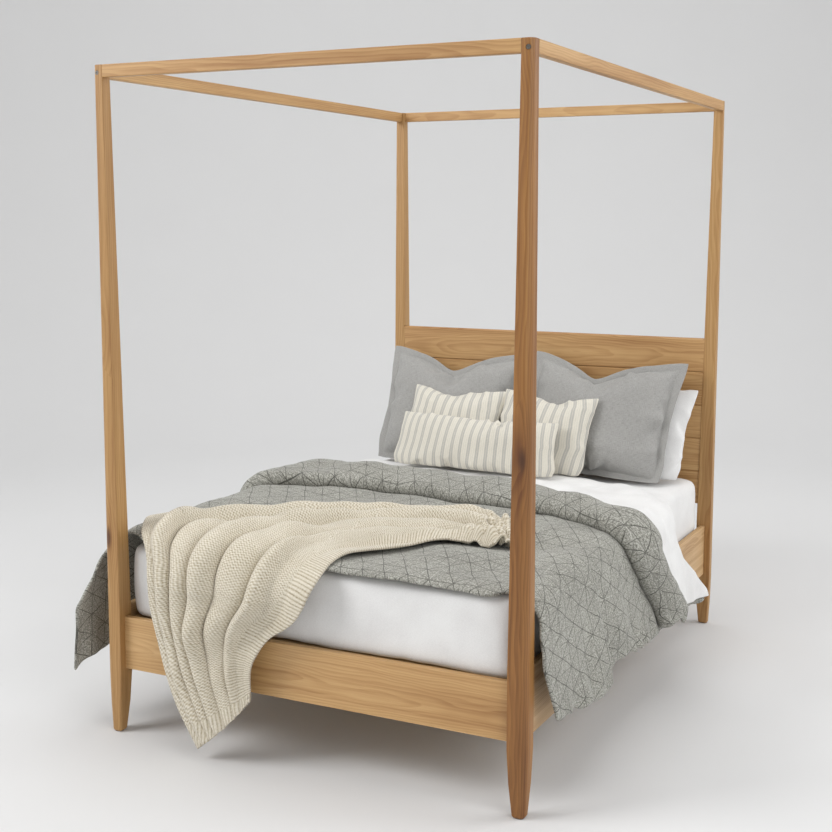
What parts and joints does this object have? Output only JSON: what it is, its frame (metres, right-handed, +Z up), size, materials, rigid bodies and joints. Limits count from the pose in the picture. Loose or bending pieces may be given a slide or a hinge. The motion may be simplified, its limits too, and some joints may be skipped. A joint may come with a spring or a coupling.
{
  "type": "four poster canopy bed",
  "caption": "Four poster canopy bed in oiled oak with tapered posts, a plank headboard and a slatted base, dressed with a mattress, duvet, knitted throw and pillows.",
  "frame": {"origin": "on the floor, at the middle of the dressed bed's bounding box", "axes": "+Z up, +Y towards the headboard, +X to the right of someone standing at the foot and facing the headboard"},
  "size_m": [1.736, 2.165, 2.19],
  "materials": {
    "post_wood": "clear oiled oak, satin",
    "rail_wood": "clear oiled oak, satin",
    "canopy_wood": "clear oiled oak, satin",
    "plank_wood": "clear oiled oak, satin",
    "support_wood": "planed pine, matte",
    "slat_wood": "planed pine, matte",
    "dowel_wood": "beech, matte",
    "bracket_steel": "dark zinc plate",
    "zinc_steel": "zinc plate, satin",
    "glide_plastic": "moulded nylon",
    "mattress_cover": "smooth white cotton",
    "white_sheet": "smooth white cotton",
    "duvet_fabric": "heathered grey jacquard with a fine dark line pattern",
    "throw_knit": "chunky cream knit",
    "grey_linen": "washed linen",
    "white_cotton": "cotton percale",
    "striped_linen": "linen with grey woven stripes"
  },
  "bodies": {
    "root": {"post_front_left": "post_wood", "post_front_right": "post_wood", "post_back_left": "post_wood", "post_back_right": "post_wood", "foot_rail": "rail_wood", "head_rail": "rail_wood", "side_rail_left": "rail_wood", "side_rail_right": "rail_wood", "canopy_rail_front": "canopy_wood", "canopy_rail_back": "canopy_wood", "canopy_rail_left": "canopy_wood", "canopy_rail_right": "canopy_wood", "headboard_plank_1": "plank_wood", "headboard_plank_2": "plank_wood", "headboard_plank_3": "plank_wood", "headboard_plank_4": "plank_wood", "headboard_plank_5": "plank_wood", "slat_ledger_left": "support_wood", "slat_ledger_right": "support_wood", "centre_beam": "support_wood", "centre_leg_front": "support_wood", "centre_leg_back": "support_wood", "slat_01": "slat_wood", "slat_02": "slat_wood", "slat_03": "slat_wood", "slat_04": "slat_wood", "slat_05": "slat_wood", "slat_06": "slat_wood", "slat_07": "slat_wood", "slat_08": "slat_wood", "slat_09": "slat_wood", "slat_10": "slat_wood", "slat_11": "slat_wood", "slat_12": "slat_wood", "slat_13": "slat_wood", "post_plates": "bracket_steel", "rail_hooks": "bracket_steel", "canopy_bolts": "zinc_steel", "canopy_barrel_nuts": "zinc_steel", "canopy_dowels": "dowel_wood", "beam_brackets": "bracket_steel", "ledger_screws": "zinc_steel", "slat_screws": "zinc_steel", "plate_screws": "zinc_steel", "foot_glides": "glide_plastic", "mattress": "mattress_cover", "top_sheet": "white_sheet", "duvet": "duvet_fabric", "throw": "throw_knit", "euro_sham_left": "grey_linen", "euro_sham_right": "grey_linen", "bed_pillow_left": "white_cotton", "bed_pillow_right": "white_cotton", "striped_cushion_left": "striped_linen", "striped_cushion_right": "striped_linen", "lumbar_cushion": "striped_linen"}
  },
  "joints": []
}
